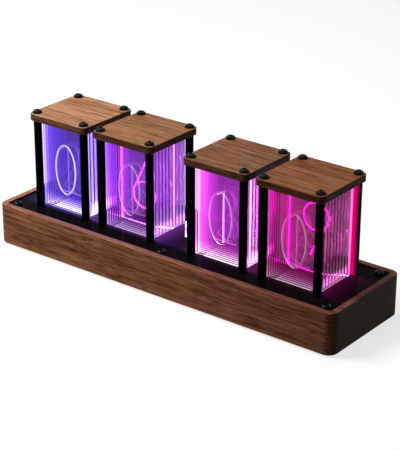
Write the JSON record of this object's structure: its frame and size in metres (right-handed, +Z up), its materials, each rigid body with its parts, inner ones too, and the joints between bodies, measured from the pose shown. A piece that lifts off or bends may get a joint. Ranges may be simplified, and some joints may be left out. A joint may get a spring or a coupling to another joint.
{
  "type": "edge-lit nixie style clock",
  "caption": "Desk clock: wooden base with a black panel, stacks of clear engraved numeral plates between wooden caps and slim black posts, and a glowing colon.",
  "frame": {"origin": "on the table, under the middle of the base", "axes": "+X along the clock, +Z up; the numerals are read from -Y"},
  "size_m": [0.25, 0.07, 0.0887],
  "materials": {
    "base_walnut": "satin",
    "cap_walnut": "satin",
    "black_panel": "gloss",
    "black_post": "matte",
    "black_screw": "satin",
    "steel_nut": "gloss",
    "lit_colon": "gloss",
    "circuit_board": "satin",
    "lamp": "gloss",
    "cell_steel": "satin",
    "socket_steel": "satin",
    "switch_plastic": "matte",
    "button_plastic": "satin",
    "rubber": "matte",
    "plate_blue": "gloss",
    "lit_blue": "gloss",
    "plate_purple": "gloss",
    "lit_purple": "gloss",
    "plate_magenta": "gloss",
    "lit_magenta": "gloss",
    "plate_pink": "gloss",
    "lit_pink": "gloss"
  },
  "bodies": {
    "clock": {"walnut_base": "base_walnut", "top_panel": "black_panel", "tube_1_plate_0": "lit_blue", "tube_1_plate_1": "plate_blue", "tube_1_plate_2": "plate_blue", "tube_1_plate_3": "plate_blue", "tube_1_plate_4": "plate_blue", "tube_1_plate_5": "plate_blue", "tube_1_plate_6": "plate_blue", "tube_1_plate_7": "plate_blue", "tube_1_plate_8": "plate_blue", "tube_1_plate_9": "plate_blue", "tube_2_plate_0": "plate_purple", "tube_2_plate_1": "plate_purple", "tube_2_plate_2": "plate_purple", "tube_2_plate_3": "plate_purple", "tube_2_plate_4": "plate_purple", "tube_2_plate_5": "plate_purple", "tube_2_plate_6": "lit_purple", "tube_2_plate_7": "plate_purple", "tube_2_plate_8": "plate_purple", "tube_2_plate_9": "plate_purple", "tube_3_plate_0": "plate_magenta", "tube_3_plate_1": "lit_magenta", "tube_3_plate_2": "plate_magenta", "tube_3_plate_3": "plate_magenta", "tube_3_plate_4": "plate_magenta", "tube_3_plate_5": "plate_magenta", "tube_3_plate_6": "plate_magenta", "tube_3_plate_7": "plate_magenta", "tube_3_plate_8": "plate_magenta", "tube_3_plate_9": "plate_magenta", "tube_4_plate_0": "plate_pink", "tube_4_plate_1": "plate_pink", "tube_4_plate_2": "plate_pink", "tube_4_plate_3": "plate_pink", "tube_4_plate_4": "plate_pink", "tube_4_plate_5": "plate_pink", "tube_4_plate_6": "plate_pink", "tube_4_plate_7": "plate_pink", "tube_4_plate_8": "plate_pink", "tube_4_plate_9": "lit_pink", "tube_1_cap": "cap_walnut", "tube_2_cap": "cap_walnut", "tube_3_cap": "cap_walnut", "tube_4_cap": "cap_walnut", "posts": "black_post", "cap_screws": "black_screw", "post_nuts": "steel_nut", "panel_screws": "black_screw", "colon_plate": "lit_colon", "main_board": "circuit_board", "leds": "lamp", "coin_cell": "cell_steel", "usb_socket": "socket_steel", "switch_bodies": "switch_plastic", "rubber_feet": "rubber"},
    "mode_button": {"mode_button": "button_plastic"},
    "up_button": {"up_button": "button_plastic"},
    "down_button": {"down_button": "button_plastic"}
  },
  "joints": [
    {"name": "mode_press", "type": "slide", "parent": "clock", "child": "mode_button", "axis": [0, -1, 0], "range_m": [0, 0.0005], "stiffness_N_per_m": 800},
    {"name": "up_press", "type": "slide", "parent": "clock", "child": "up_button", "axis": [0, -1, 0], "range_m": [0, 0.0005], "stiffness_N_per_m": 800},
    {"name": "down_press", "type": "slide", "parent": "clock", "child": "down_button", "axis": [0, -1, 0], "range_m": [0, 0.0005], "stiffness_N_per_m": 800}
  ]
}
